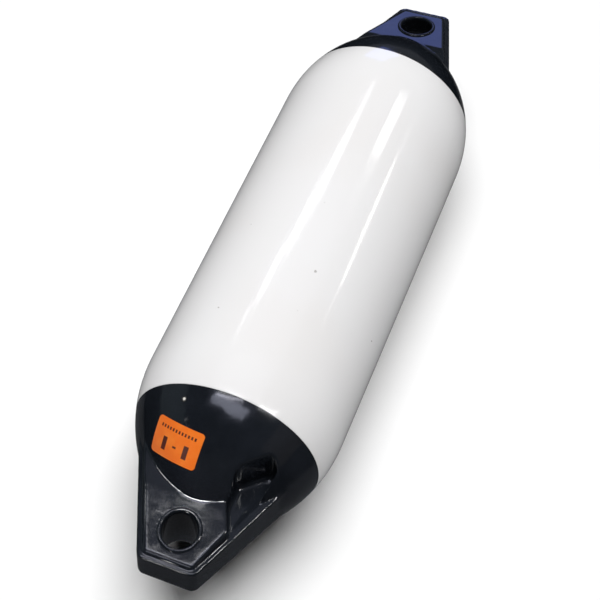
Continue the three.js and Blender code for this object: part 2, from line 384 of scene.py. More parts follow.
class Shades:
    """A material's node tree, with short ways to add nodes and join them."""

    MIX_COLOURS = (6, 7)
    MIX_RESULT = 2

    def __init__(self, name: str) -> None:
        """Starts a material that holds only a Principled shader.

        Args:
            name: Name of the material.
        """
        self.material = bpy.data.materials.new(name)
        self.material.use_nodes = True
        self.nodes = self.material.node_tree.nodes
        self.links = self.material.node_tree.links
        self.shader = self.nodes["Principled BSDF"]
        self.place = self.add("ShaderNodeTexCoord").outputs["Object"]

    def add(self, kind: str, **settings: object) -> bpy.types.Node:
        """Adds a node.

        Args:
            kind: Blender's name of the node type.
            settings: Properties to set on it.

        Returns:
            The node.
        """
        node = self.nodes.new(kind)
        for key, value in settings.items():
            setattr(node, key, value)
        return node

    def join(self, source: bpy.types.NodeSocket, node: bpy.types.Node, socket: str | int) -> None:
        """Links an output to a node's input."""
        self.links.new(source, node.inputs[socket])

    def work_out(self, how: str, first: object, second: object = 0.0) -> bpy.types.NodeSocket:
        """Works out a number from one or two others.

        Args:
            how: Blender's name of the operation.
            first: Number or output.
            second: Number or output.

        Returns:
            The result's output.
        """
        node = self.add("ShaderNodeMath", operation=how)
        for i, value in enumerate((first, second)):
            if isinstance(value, bpy.types.NodeSocket):
                self.join(value, node, i)
            else:
                node.inputs[i].default_value = value
        return node.outputs[0]

    def cloud(
        self, size: float, detail: float = 3.0, rough: float = 0.5, warp: float = 0.0
    ) -> bpy.types.NodeSocket:
        """Soft noise over the piece.

        Args:
            size: Rough distance from one light patch to the next.
            detail: Number of finer layers.
            rough: Strength of the finer layers.
            warp: How far the pattern is pulled about.

        Returns:
            The noise, from 0 to 1.
        """
        node = self.add("ShaderNodeTexNoise")
        node.inputs["Scale"].default_value = 1 / size
        node.inputs["Detail"].default_value = detail
        node.inputs["Roughness"].default_value = rough
        node.inputs["Distortion"].default_value = warp
        self.join(self.place, node, "Vector")
        return node.outputs["Fac"]

    def ramp(
        self,
        value: bpy.types.NodeSocket,
        low: float,
        high: float,
        out_low: float = 0.0,
        out_high: float = 1.0,
    ) -> bpy.types.NodeSocket:
        """Maps a range of a number smoothly to another range.

        Args:
            value: Number to map.
            low: Start of its range.
            high: End of its range.
            out_low: Result at the start.
            out_high: Result at the end.

        Returns:
            The mapped number.
        """
        node = self.add("ShaderNodeMapRange", interpolation_type="SMOOTHSTEP")
        self.join(value, node, "Value")
        ranges = {"From Min": low, "From Max": high, "To Min": out_low, "To Max": out_high}
        for socket, number in ranges.items():
            node.inputs[socket].default_value = number
        return node.outputs["Result"]

    def blend(self, share: bpy.types.NodeSocket, first: object, second: object) -> bpy.types.NodeSocket:
        """Blends two colours.

        Args:
            share: How much of the second colour, from 0 to 1.
            first: Colour or output.
            second: Colour or output.

        Returns:
            The blended colour.
        """
        node = self.add("ShaderNodeMix", data_type="RGBA")
        self.join(share, node, 0)
        for i, colour in zip(self.MIX_COLOURS, (first, second)):
            if isinstance(colour, bpy.types.NodeSocket):
                self.join(colour, node, i)
            else:
                node.inputs[i].default_value = (*colour, 1)
        return node.outputs[self.MIX_RESULT]

    def raise_by(self, *layers: tuple[bpy.types.NodeSocket, float]) -> None:
        """Gives the surface relief.

        Args:
            layers: Heights, each with the distance in metres that 1 stands for.
        """
        normal = None
        for height, distance in layers:
            node = self.add("ShaderNodeBump")
            node.inputs["Strength"].default_value = 1
            node.inputs["Distance"].default_value = distance
            self.join(height, node, "Height")
            if normal is not None:
                self.join(normal, node, "Normal")
            normal = node.outputs["Normal"]
        self.join(normal, self.shader, "Normal")


@dataclass(frozen=True)
class WhiteVinyl:
    """Glossy white vinyl, with a faint waviness, fine scuffs and a few grey specks."""

    colour: tuple[float, float, float] = (0.845, 0.84, 0.845)
    warm: tuple[float, float, float] = (0.825, 0.812, 0.81)
    speck: tuple[float, float, float] = (0.5, 0.48, 0.47)
    roughness: float = 0.1
    scuffed: float = 0.24
    wave_height: float = 0.25 * MM
    grain_height: float = 0.004 * MM

    def make(self) -> bpy.types.Material:
        """Builds the material.

        Returns:
            The material.
        """
        shades = Shades("white_vinyl")
        tone = shades.ramp(shades.cloud(90 * MM, detail=2), 0.4, 0.7)
        specks = shades.ramp(shades.cloud(4.5 * MM, detail=1), 0.8, 0.83)
        vinyl = shades.blend(tone, self.colour, self.warm)
        shades.join(shades.blend(specks, vinyl, self.speck), shades.shader, "Base Color")
        scuffs = shades.cloud(6 * MM, detail=4, rough=0.7)
        gloss = shades.ramp(scuffs, 0.52, 0.75, self.roughness, self.scuffed)
        shades.join(gloss, shades.shader, "Roughness")
        waves, grain = shades.cloud(50 * MM, detail=1), shades.cloud(1.2 * MM, detail=2)
        shades.raise_by((waves, self.wave_height), (grain, self.grain_height))
        shades.shader.inputs["IOR"].default_value = 1.53
        shades.shader.inputs["Coat Weight"].default_value = 0.25
        shades.shader.inputs["Coat Roughness"].default_value = 0.06
        return shades.material


@dataclass(frozen=True)
class NavyVinyl:
    """Glossy near-black navy vinyl with the soft ripples and fine flow marks of its moulding."""

    colour: tuple[float, float, float] = (0.0078, 0.0096, 0.013)
    bloom: tuple[float, float, float] = (0.0115, 0.0138, 0.0185)
    roughness: float = 0.11
    scuffed: float = 0.17
    ripple_height: float = 0.26 * MM
    flow_height: float = 0.04 * MM
    grain_height: float = 0.003 * MM

    def make(self) -> bpy.types.Material:
        """Builds the material.

        Returns:
            The material.
        """
        shades = Shades("navy_vinyl")
        tone = shades.ramp(shades.cloud(30 * MM, rough=0.6), 0.4, 0.7)
        shades.join(shades.blend(tone, self.colour, self.bloom), shades.shader, "Base Color")
        scuffs = shades.cloud(7 * MM, detail=4, rough=0.6, warp=0.4)
        gloss = shades.ramp(scuffs, 0.45, 0.75, self.roughness, self.scuffed)
        shades.join(gloss, shades.shader, "Roughness")
        ripples = shades.cloud(16 * MM, detail=1, rough=0.4, warp=0.6)
        flow_marks = shades.cloud(6 * MM, detail=1, rough=0.4, warp=0.8)
        grain = shades.cloud(1.6 * MM, detail=1)
        shades.raise_by(
            (ripples, self.ripple_height), (flow_marks, self.flow_height), (grain, self.grain_height)
        )
        shades.shader.inputs["IOR"].default_value = 1.52
        return shades.material


@dataclass(frozen=True)
class LabelPaper:
    """Satin orange sticker with plain dark shapes: a row of ticks over a dash between two blocks.

    Places and half sizes are across the label and then along it, from its middle.
    """

    frame: Matrix
    colour: tuple[float, float, float] = (0.84, 0.165, 0.012)
    faded: tuple[float, float, float] = (0.87, 0.205, 0.02)
    ink: tuple[float, float, float] = (0.07, 0.014, 0.01)
    dash_place: tuple[float, float] = (2.6 * MM, 0.6 * MM)
    dash_half: tuple[float, float] = (0.6 * MM, 1.2 * MM)
    block_places: tuple[tuple[float, float], ...] = ((2.8 * MM, -6.4 * MM), (2.8 * MM, 7.6 * MM))
    block_half: tuple[float, float] = (3.6 * MM, 1.5 * MM)
    tick_row_place: tuple[float, float] = (-5.8 * MM, 0.0)
    tick_row_half: tuple[float, float] = (0.9 * MM, 11.6 * MM)
    tick_pitch: float = 2 * MM
    gap_half: float = 0.4 * MM
    tick_blur: float = 0.15 * MM
    edge_blur: float = 0.12 * MM
    paper_height: float = 0.02 * MM
    crease_height: float = 0.08 * MM

    def make(self) -> bpy.types.Material:
        """Builds the material.

        Returns:
            The material.
        """
        shades = Shades("orange_label")
        mapping = shades.add("ShaderNodeMapping", vector_type="TEXTURE")
        mapping.inputs["Location"].default_value = self.frame.to_translation()
        mapping.inputs["Rotation"].default_value = self.frame.to_euler()
        shades.join(shades.place, mapping, "Vector")
        split = shades.add("ShaderNodeSeparateXYZ")
        shades.join(mapping.outputs[0], split, 0)
        tone = shades.ramp(shades.cloud(8 * MM), 0.4, 0.7)
        paper = shades.blend(tone, self.colour, self.faded)
        ink = self.printed(shades, (split.outputs[0], split.outputs[1]))
        shades.join(shades.blend(ink, paper, self.ink), shades.shader, "Base Color")
        shades.join(shades.ramp(shades.cloud(3 * MM), 0.3, 0.8, 0.36, 0.5), shades.shader, "Roughness")
        paper_grain, creases = shades.cloud(0.6 * MM), shades.cloud(9 * MM, detail=1)
        shades.raise_by((paper_grain, self.paper_height), (creases, self.crease_height))
        return shades.material

    def printed(
        self, shades: Shades, spot: tuple[bpy.types.NodeSocket, bpy.types.NodeSocket]
    ) -> bpy.types.NodeSocket:
        """All the label's plain shapes.

        Args:
            shades: Node tree.
            spot: Distances across and along the label.

        Returns:
            1 where there is ink and 0 elsewhere.
        """
        ink = self.rectangle(shades, spot, self.dash_place, self.dash_half)
        for place in self.block_places:
            ink = shades.work_out("MAXIMUM", ink, self.rectangle(shades, spot, place, self.block_half))
        past_zero = shades.work_out("ADD", spot[1], 1)
        teeth = shades.work_out("PINGPONG", past_zero, self.tick_pitch / 2)
        ticks = shades.ramp(teeth, self.gap_half, self.gap_half + self.tick_blur)
        row = self.rectangle(shades, spot, self.tick_row_place, self.tick_row_half)
        return shades.work_out("MAXIMUM", ink, shades.work_out("MULTIPLY", ticks, row))

    def rectangle(
        self,
        shades: Shades,
        spot: tuple[bpy.types.NodeSocket, bpy.types.NodeSocket],
        centre: tuple[float, float],
        half: tuple[float, float],
    ) -> bpy.types.NodeSocket:
        """A filled rectangle of ink.

        Args:
            shades: Node tree.
            spot: Distances across and along the label.
            centre: The rectangle's centre.
            half: Half its size across and along.

        Returns:
            1 inside it and 0 outside.
        """
        masks = []
        for value, middle, reach in zip(spot, centre, half):
            off = shades.work_out("ABSOLUTE", shades.work_out("SUBTRACT", value, middle))
            masks.append(shades.ramp(off, reach, reach - self.edge_blur, 0, 1))
        return shades.work_out("MULTIPLY", *masks)


@dataclass(frozen=True)
class ValveRubber:
    """Dark rubber with a pale plug in its middle, whose pale colour is partly the plug's own and partly a
    painted highlight.
    """

    frame: Matrix
    plug_and_highlight_radius: float = 0.95 * MM
    plug_and_highlight_blur: float = 0.2 * MM
    grain_height: float = 0.02 * MM
    colour: tuple[float, float, float] = (0.02, 0.02, 0.021)
    dust: tuple[float, float, float] = (0.06, 0.055, 0.05)
    # The plug's pale colour is partly its own colour and partly a painted highlight of the valve's glint.
    plug: tuple[float, float, float] = (0.8, 0.78, 0.72)

    def make(self) -> bpy.types.Material:
        """Builds the material.

        Returns:
            The material.
        """
        shades = Shades("valve_rubber")
        off = shades.add("ShaderNodeVectorMath", operation="DISTANCE")
        shades.join(shades.place, off, 0)
        off.inputs[1].default_value = self.frame.to_translation()
        # Pale disc in the middle: partly the plug's own colour, partly a painted highlight.
        middle = shades.ramp(off.outputs["Value"], self.plug_and_highlight_radius, self.plug_and_highlight_radius - self.plug_and_highlight_blur)
        rubber = shades.blend(shades.ramp(shades.cloud(1.5 * MM), 0.45, 0.75), self.colour, self.dust)
        shades.join(shades.blend(middle, rubber, self.plug), shades.shader, "Base Color")
        gloss = shades.ramp(shades.cloud(1 * MM, detail=2), 0.3, 0.7, 0.3, 0.45)
        shades.join(gloss, shades.shader, "Roughness")
        shades.raise_by((shades.cloud(0.4 * MM, detail=2), self.grain_height))
        return shades.material


@dataclass
class Barrel:
    """White barrel with both rounded shoulders, as one hollow shell."""

    end: RoundedEnd
    wall: float = 3.2 * MM
    lip: float = 0.5 * MM
    lip_steps: int = 3
    steps: int = 192
    lengthwise: int = 48
    shoulder: int = 24
    inside_shoulder: int = 6
    waviness: float = 0.06 * MM
    wave: float = 60 * MM
    calm: float = 8 * MM

    def outside(self) -> list[tuple[float, float]]:
        """Outer profile from seam to seam, with a small rounded lip at each seam.

        Returns:
            Points as (along, radius).
        """
        end = self.end
        half = end.profile(end.straight_half, end.seam - self.lip, self.shoulder)
        for i in range(1, self.lip_steps + 1):
            turn = i / self.lip_steps * math.pi / 2
            radius = end.radius(end.seam) - self.lip * (1 - math.cos(turn))
            half.append((end.seam - self.lip + self.lip * math.sin(turn), radius))
        spacing = 2 * end.straight_half / self.lengthwise
        middle = [(-end.straight_half + spacing * i, end.body_radius) for i in range(1, self.lengthwise)]
        return [(-x, r) for x, r in reversed(half)] + middle + half

    def inside(self) -> list[tuple[float, float]]:
        """Inner profile from seam to seam.

        Returns:
            Points as (along, radius).
        """
        end = self.end
        half = end.profile(end.straight_half, end.seam - self.lip, self.inside_shoulder, self.wall)
        half[-1] = (end.seam, end.radius(end.seam) - self.wall)
        return [(-x, r) for x, r in reversed(half)] + half

    def build(self, material: bpy.types.Material) -> None:
        """Builds the shell and gives it a faint waviness.

        Args:
            material: White vinyl.
        """
        bm = spin_solid(self.outside() + self.inside()[::-1], self.steps)
        for vert in bm.verts:
            across = Vector((0, vert.co.y, vert.co.z))
            swell = noise.noise(vert.co / self.wave) * self.waviness * self.fade(vert.co.x)
            vert.co += across.normalized() * min(swell, 0)
        bmesh.ops.translate(bm, verts=bm.verts[:], vec=(0, 0, self.end.body_radius))
        piece = finish_piece(bm, "barrel_shell", material)
        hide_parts("body_shell")

    def fade(self, x: float) -> float:
        """Share of the waviness at a distance along, which is none at the seams."""
        return min(max((self.end.seam - abs(x)) / self.calm, 0.0), 1.0)


@dataclass
class RopeEye:
    """Rope eye: a flat flange, a wedge that stands proud of both its faces, and a beaded hole.

    A reach is the distance from the tip at which a side of the flange meets the dome.
    """

    end: RoundedEnd
    near_reach: float = 57.35 * MM
    far_reach: float = 57.35 * MM
    tip: float = 213 * MM
    flange_tip_half_width: float = 15.85 * MM
    flange_tip_half: float = 9.5 * MM
    flange_slope: float = math.radians(2.6)
    flange_corner: float = 3 * MM
    flange_edge: float = 2.8 * MM
    flange_tip_edge: float = 0.6 * MM
    wedge_tip: float = 210.4 * MM
    wedge_inset: float = 3.2 * MM
    wedge_tip_half: float = 10.75 * MM
    wedge_slope: float = math.radians(12.5)
    wedge_reach: float = 37.1 * MM
    wedge_corner: float = 2 * MM
    wedge_edge: float = 1.8 * MM
    hole_radius: float = 9.3 * MM
    hole_x: float = 193.7 * MM
    bead_width: float = 2.6 * MM
    bead_height: float = 0.9 * MM
    bead_depth: float = 1.6 * MM
    bead_foot: float = 1 * MM
    bead_steps: int = 8
    lining_steps: int = 96
    lining_lean_depth: float = 3 * MM
    roll_radius: float = 1.6 * MM
    roll_proud: float = 0.35 * MM
    roll_end_share: float = 0.7
    roll_steps: int = 48
    dish_radius: float = 18.5 * MM
    dish_depth: float = 0.1 * MM
    dish_skin: float = 0.6 * MM
    slab_half: float = 40 * MM
    bore_depth: float = 100 * MM
    bore_steps: int = 64
    tip_zone: float = 0.5 * MM
    root_gap: float = 1 * MM

    def half_width(self, along: float, side: int, inset: float = 0.0) -> float:
        """Half-width of the flange, or of the wedge where it is inset.

        Args:
            along: Distance from the fender's middle.
            side: 1 or -1 for the side along Y.
            inset: How far in from the flange's side.

        Returns:
            The distance from the eye's middle, which is never negative.
        """
        reach = self.far_reach if side < 0 else self.near_reach
        flare = (self.end.radius(self.tip - reach) - self.flange_tip_half_width) / reach
        return self.flange_tip_half_width + (self.tip - along) * flare - inset

    @property
    def wedge_root_half(self) -> float:
        """Half-thickness of the wedge where it is level."""
        return self.end.radius(self.tip - self.wedge_reach)

    def wedge_half(self, along: float) -> float:
        """Half-thickness of the wedge at a distance along."""
        sloped = self.wedge_tip_half + (self.wedge_tip - along) * math.tan(self.wedge_slope)
        return min(sloped, self.wedge_root_half)

    def slab(self, tip: float, inset: float, corner: float) -> bmesh.types.BMesh:
        """Prism over the outline of the flange or the wedge seen from above.

        Args:
            tip: Distance along of its tip.
            inset: How far in from the flange's side.
            corner: Radius of the corners at the tip.

        Returns:
            The prism, from the seam to the tip.
        """
        root = self.end.seam
        outline = [
            (root, -self.half_width(root, -1, inset), 0),
            (tip, -self.half_width(tip, -1, inset), corner),
            (tip, self.half_width(tip, 1, inset), corner),
            (root, self.half_width(root, 1, inset), 0),
        ]
        return prism(outline, -self.slab_half, self.slab_half)

    def flange(self) -> bmesh.types.BMesh:
        """Flange, from the seam to the tip.

        Returns:
            The solid.
        """
        bm = self.slab(self.tip, 0.0, self.flange_corner)
        slope_faces(bm, self.tip, self.flange_tip_half, self.flange_slope)
        soften_edges(bm, self.tip - self.tip_zone, self.flange_tip_edge)
        soften_edges(bm, self.end.seam + self.root_gap, self.flange_edge)
        return bm

    def wedge(self) -> bmesh.types.BMesh:
        """Wedge, from the seam to its tip, level near the dome.

        Returns:
            The solid.
        """
        bm = self.slab(self.wedge_tip, self.wedge_inset, self.wedge_corner)
        slope_faces(bm, self.wedge_tip, self.wedge_tip_half, self.wedge_slope)
        slope_faces(bm, self.wedge_tip, self.wedge_root_half, 0.0)
        soften_edges(bm, self.end.seam + self.root_gap, self.wedge_edge)
        return bm

    def dish(self, bm: bmesh.types.BMesh) -> None:
        """Sinks both faces a little towards the hole.

        Args:
            bm: Moulded cap with its axis along +X and its eye level.
        """
        inner = self.hole_radius + self.bead_width
        for vert in bm.verts:
            off = math.hypot(vert.co.x - self.hole_x, vert.co.y)
            above = self.wedge_half(vert.co.x) - abs(vert.co.z)
            if off < self.dish_radius and above < self.dish_skin:
                share = min(max((self.dish_radius - off) / (self.dish_radius - inner), 0.0), 1.0)
                vert.co.z -= math.copysign(self.dish_depth * share * share * (3 - 2 * share), vert.co.z)

    def bore(self) -> bmesh.types.BMesh:
        """Cutter for the rope hole, which the bead's lining fills in.

        Returns:
            The solid.
        """
        bm = bmesh.new()
        radius = self.hole_radius + self.bead_width / 2
        bmesh.ops.create_cone(
            bm, cap_ends=True, segments=self.bore_steps, radius1=radius, radius2=radius, depth=self.bore_depth
        )
        bmesh.ops.translate(bm, verts=bm.verts[:], vec=(self.hole_x, 0, 0))
        return bm

    def tip_rolls(self) -> bmesh.types.BMesh:
        """Rounded roll along the tip edge of each of the wedge's faces.

        Returns:
            Both rolls.
        """
        bm = bmesh.new()
        radius = self.roll_radius
        along = self.wedge_tip - radius + self.roll_proud
        height = self.wedge_half(along) - radius + self.roll_proud
        length = 2 * self.half_width(self.wedge_tip, 1, self.wedge_inset) - radius
        for side in (1, -1):
            place = Matrix.Translation((along, 0, side * height)) @ Matrix.Rotation(math.pi / 2, 4, "X")
            bmesh.ops.create_cone(
                bm, cap_ends=True, segments=self.roll_steps, radius1=radius, radius2=radius, depth=length,
                matrix=place,
            )
        rims = [e for e in bm.edges if abs(e.verts[0].co.y - e.verts[1].co.y) < SAME_PLACE]
        bevel_edges(bm, rims, self.roll_end_share * radius, segments=4)
        return bm

    def bead(self) -> list[tuple[float, float]]:
        """Outline of the bead at the upper mouth, from the hole's wall over its top to its foot.

        Returns:
            Points as (height, radius).
        """
        bore, outer = self.hole_radius, self.hole_radius + self.bead_width
        middle = self.hole_radius + self.bead_width / 2
        face = self.wedge_half(self.hole_x)
        points = []
        for i in range(self.bead_steps + 1):
            turn = i / self.bead_steps * math.pi / 2
            rise = -self.bead_depth + (self.bead_height + self.bead_depth) * math.sin(turn)
            points.append((face + rise, bore + (middle - bore) * (1 - math.cos(turn))))
        for i in range(1, self.bead_steps + 1):
            turn = math.pi / 2 * (1 - i / self.bead_steps)
            radius = middle + (outer - middle) * math.cos(turn)
            points.append((face + self.bead_height * math.sin(turn), radius))
        return [*points, (face - self.bead_foot, outer)]

    def lining(self) -> bmesh.types.BMesh:
        """Lining of the rope hole, with a bead at each mouth that follows the sloped face.

        Returns:
            The solid.
        """
        face = self.wedge_half(self.hole_x)
        wall = [(face * i / self.bead_steps, self.hole_radius) for i in range(self.bead_steps - 1)]
        half = wall + self.bead()
        outline = half + [(-z, r) for z, r in reversed(half[1:])]
        bm = spin_solid(outline, self.lining_steps, upright=True)
        for vert in bm.verts:
            share = min(max(vert.co.z / (face - self.lining_lean_depth), -1.0), 1.0)
            vert.co.z -= vert.co.x * math.tan(self.wedge_slope) * share
        bmesh.ops.translate(bm, verts=bm.verts[:], vec=(self.hole_x, 0, 0))
        return bm


@dataclass
class Recess:
    """Recess sunk beside the front rope eye, with its corners as distances back from the tip."""

    eye: RopeEye
    start: float = 26 * MM
    neck: float = 40.4 * MM
    bend: float = 55 * MM
    far: float = 68.4 * MM
    heel: float = 64.5 * MM
    inner: float = 17 * MM
    shoulder: float = 31.5 * MM
    outer: float = 36.2 * MM
    floor: float = 10 * MM
    corner: float = 2.5 * MM
    fillet: float = 3.6 * MM
    cut_top: float = 60 * MM
    overlap: float = 1 * MM

    def inner_edge(self) -> list[tuple[float, float, float]]:
        """Edge from the wedge's side to the recess's far end.

        Returns:
            Corners as (x, y, radius).
        """
        tip, start = self.eye.tip, self.eye.tip - self.start
        side = self.eye.half_width(start, 1, self.eye.wedge_inset)
        bend = (tip - self.bend, self.inner, self.corner)
        return [(start, side, 0), (tip - self.neck, self.inner, 0), bend]

    def pocket(self) -> bmesh.types.BMesh:
        """Cutter for the recess itself.

        Returns:
            The solid.
        """
        tip, corner = self.eye.tip, self.corner
        far_end = [(tip - self.far, self.shoulder, corner), (tip - self.heel, self.outer, corner)]
        bm = prism([*self.inner_edge(), *far_end][::-1], self.floor, self.cut_top)
        low = [e for e in bm.edges if all(v.co.z < self.floor + SAME_PLACE for v in e.verts)]
        bevel_edges(bm, low, self.fillet)
        return bm

    def relief(self) -> bmesh.types.BMesh:
        """Cutter for what the recess takes off the upper half of the wedge.

        Returns:
            The solid.
        """
        start, neck, _ = self.inner_edge()
        back = self.eye.end.seam - self.overlap
        side = self.eye.half_width(back, 1)
        outline = [start, neck, (back, self.inner, 0), (back, side, 0), (start[0], side, 0)]
        return prism(outline[::-1], 0, self.cut_top)


@dataclass
class EndCap:
    """Dark moulded cap: a dome that carries a rope eye."""

    end: RoundedEnd
    which: End
    twist: float = 0.0
    far_reach: float = 57.35 * MM
    voxel: float = 0.62 * MM
    rounds: int = 10
    back: float = 2 * MM
    pole_gap: float = 0.2 * MM
    dome_steps: int = 48
    steps: int = 128

    def placed(self, bm: bmesh.types.BMesh, turned: bool = False) -> bmesh.types.BMesh:
        """Moves a solid drawn round the cap's own axis to where the cap is.

        Args:
            bm: Solid with the cap's axis along +X.
            turned: True to turn it by the rope eye's twist first.

        Returns:
            The same solid.
        """
        place = Matrix.Translation((0, 0, self.end.body_radius))
        if self.which is End.FRONT:
            place = place @ Matrix.Rotation(math.pi, 4, "Z")
        if turned:
            place = place @ Matrix.Rotation(self.twist, 4, "X")
        bmesh.ops.transform(bm, matrix=place, verts=bm.verts[:])
        return bm

    def twisted(self, bm: bmesh.types.BMesh, back: bool = False) -> bmesh.types.BMesh:
        """Turns a solid by the rope eye's twist, or back again.

        Args:
            bm: Solid with the cap's axis along +X.
            back: True to turn it back.

        Returns:
            The same solid.
        """
        turn = Matrix.Rotation(-self.twist if back else self.twist, 4, "X")
        bmesh.ops.transform(bm, matrix=turn, verts=bm.verts[:])
        return bm

    def sharp_solid(self) -> bmesh.types.BMesh:
        """Dome, flange and wedge with their holes cut, before the edges are rounded.

        Returns:
            The solid, with the cap's axis along +X.
        """
        end, eye = self.end, RopeEye(self.end, far_reach=self.far_reach)
        back, pole = end.seam - self.back, end.pole - self.pole_gap
        dome = spin_solid([(back, 0.0), *end.profile(back, pole, self.dome_steps), (pole, 0.0)], self.steps)
        wedge = eye.wedge()
        cuts = [(Join.CUT, self.twisted(eye.bore()))]
        if self.which is End.FRONT:
            recess = Recess(eye)
            wedge = combine(wedge, [(Join.CUT, recess.relief())])
            cuts.insert(0, (Join.CUT, recess.pocket()))
        joined = [(Join.ADD, self.twisted(eye.flange())), (Join.ADD, self.twisted(wedge))]
        return combine(dome, joined + cuts)

    def skin(self) -> bmesh.types.BMesh:
        """The whole cap but its lining, as one smooth moulding closed at the seam.

        Returns:
            The solid, in place.
        """
        soft = mould(self.sharp_solid(), self.voxel, self.rounds)
        self.twisted(soft, back=True)
        RopeEye(self.end, far_reach=self.far_reach).dish(soft)
        self.twisted(soft)
        geom, seam = soft.verts[:] + soft.edges[:] + soft.faces[:], (self.end.seam, 0, 0)
        cut = bmesh.ops.bisect_plane(soft, geom=geom, plane_co=seam, plane_no=(-1, 0, 0), clear_outer=True)
        rim = [g for g in cut["geom_cut"] if isinstance(g, bmesh.types.BMEdge)]
        bmesh.ops.holes_fill(soft, edges=rim, sides=0)
        return self.placed(soft)

    def build(self, material: bpy.types.Material, node: str) -> None:
        """Builds the cap, the lining of its rope hole and the rolls on its wedge.

        Args:
            material: Navy vinyl.
            node: Name of the cap's own node.
        """
        side, eye = self.which.name.lower(), RopeEye(self.end)
        cap = finish_piece(self.skin(), f"{side}_cap_moulding", material)
        # Only the flat face that closes the cap at the seam has more than four corners.
        for face in cap.data.polygons:
            if len(face.vertices) > 4:
                face.use_smooth = False
        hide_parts(node)
        lining = finish_piece(self.placed(eye.lining(), turned=True), f"{side}_rope_hole_bead", material)
        rolls = finish_piece(self.placed(eye.tip_rolls(), turned=True), f"{side}_tip_rolls", material)


@dataclass
class DomePlace:
    """Frame that stands square on the front dome.

    Its Z is the surface's normal, and its X points down the dome towards the tip.
    """

    end: RoundedEnd
    from_seam: float
    angle: float

    def matrix(self, turn: float = 0.0) -> Matrix:
        """Works the frame out.

        Args:
            turn: Turn about the normal.

        Returns:
            The frame's matrix.
        """
        along = self.end.seam + self.from_seam
        normal = self.end.normal(along)
        tilt = Matrix.Rotation(math.atan2(normal.x, normal.y), 4, "Y")
        place = Matrix.Translation((along, 0, self.end.radius(along)))
        around = Matrix.Rotation(self.angle, 4, "X")
        lift = Matrix.Translation((0, 0, self.end.body_radius))
        return lift @ Matrix.Rotation(math.pi, 4, "Z") @ around @ place @ tilt @ Matrix.Rotation(turn, 4, "Z")


@dataclass
class SizeLabel:
    """Thin sticker that follows the front dome."""

    end: RoundedEnd
    length: float = 30 * MM
    height: float = 20 * MM
    corner: float = 2 * MM
    thickness: float = 0.3 * MM
    gap: float = 0.05 * MM
    from_seam: float = 27 * MM
    above_wedge: float = 15.6 * MM
    turn: float = math.radians(-19.5)
    across_steps: int = 28
    along_steps: int = 40
    spare: float = 2 * MM
    cut_reach: float = 20 * MM
    lowest: float = -15 * MM
    highest: float = 8 * MM
    halvings: int = 30

    def frame(self) -> Matrix:
        """Works out the label's place.

        Returns:
            Its frame, with X across it and Y along it.
        """
        height = RopeEye(self.end).wedge_root_half + self.above_wedge
        angle = math.acos(height / self.end.radius(self.end.seam + self.from_seam))
        return DomePlace(self.end, self.from_seam, angle).matrix(self.turn)

    def drop_to_dome(self, point: Vector, normal: Vector) -> Vector:
        """Moves a point along the label's normal to the dome.

        Args:
            point: Point near the dome.
            normal: Direction to move along.

        Returns:
            The point on the dome.
        """
        low, high = self.lowest, self.highest
        for _ in range(self.halvings):
            middle = (low + high) / 2
            at = point + normal * middle
            inside = math.hypot(at.y, at.z - self.end.body_radius) < self.end.radius(abs(at.x))
            low, high = (middle, high) if inside else (low, middle)
        return point + normal * (high + self.gap)

    def sheet(self, frame: Matrix) -> bmesh.types.BMesh:
        """Oversize sheet that follows the dome.

        Args:
            frame: The label's frame.

        Returns:
            The sheet, with its thickness.
        """
        normal = frame.to_3x3() @ Vector((0, 0, 1))
        bm = bmesh.new()
        bmesh.ops.create_grid(bm, x_segments=self.across_steps, y_segments=self.along_steps, size=0.5)
        bmesh.ops.scale(bm, vec=(self.height + self.spare, self.length + self.spare, 1), verts=bm.verts[:])
        bmesh.ops.transform(bm, matrix=frame, verts=bm.verts[:])
        for vert in bm.verts:
            vert.co = self.drop_to_dome(vert.co, normal)
        bmesh.ops.recalc_face_normals(bm, faces=bm.faces[:])
        if sum((f.normal for f in bm.faces), Vector()).dot(normal) < 0:
            bmesh.ops.reverse_faces(bm, faces=bm.faces[:])
        bmesh.ops.solidify(bm, geom=bm.faces[:], thickness=-self.thickness)
        return bm

    def build(self) -> None:
        """Builds the sticker on the dome."""
        frame = self.frame()
        x, y = self.height / 2, self.length / 2
        outline = [(*place, self.corner) for place in ((-x, -y), (x, -y), (x, y), (-x, y))]
        sheet, cutter = self.sheet(frame), prism(outline, -self.cut_reach, self.cut_reach)
        bmesh.ops.transform(cutter, matrix=frame, verts=cutter.verts[:])
        trimmed = combine(sheet, [(Join.KEEP, cutter)])
        piece = finish_piece(trimmed, "size_label_sticker", LabelPaper(frame).make(), smooth=False)
        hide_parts("size_label")


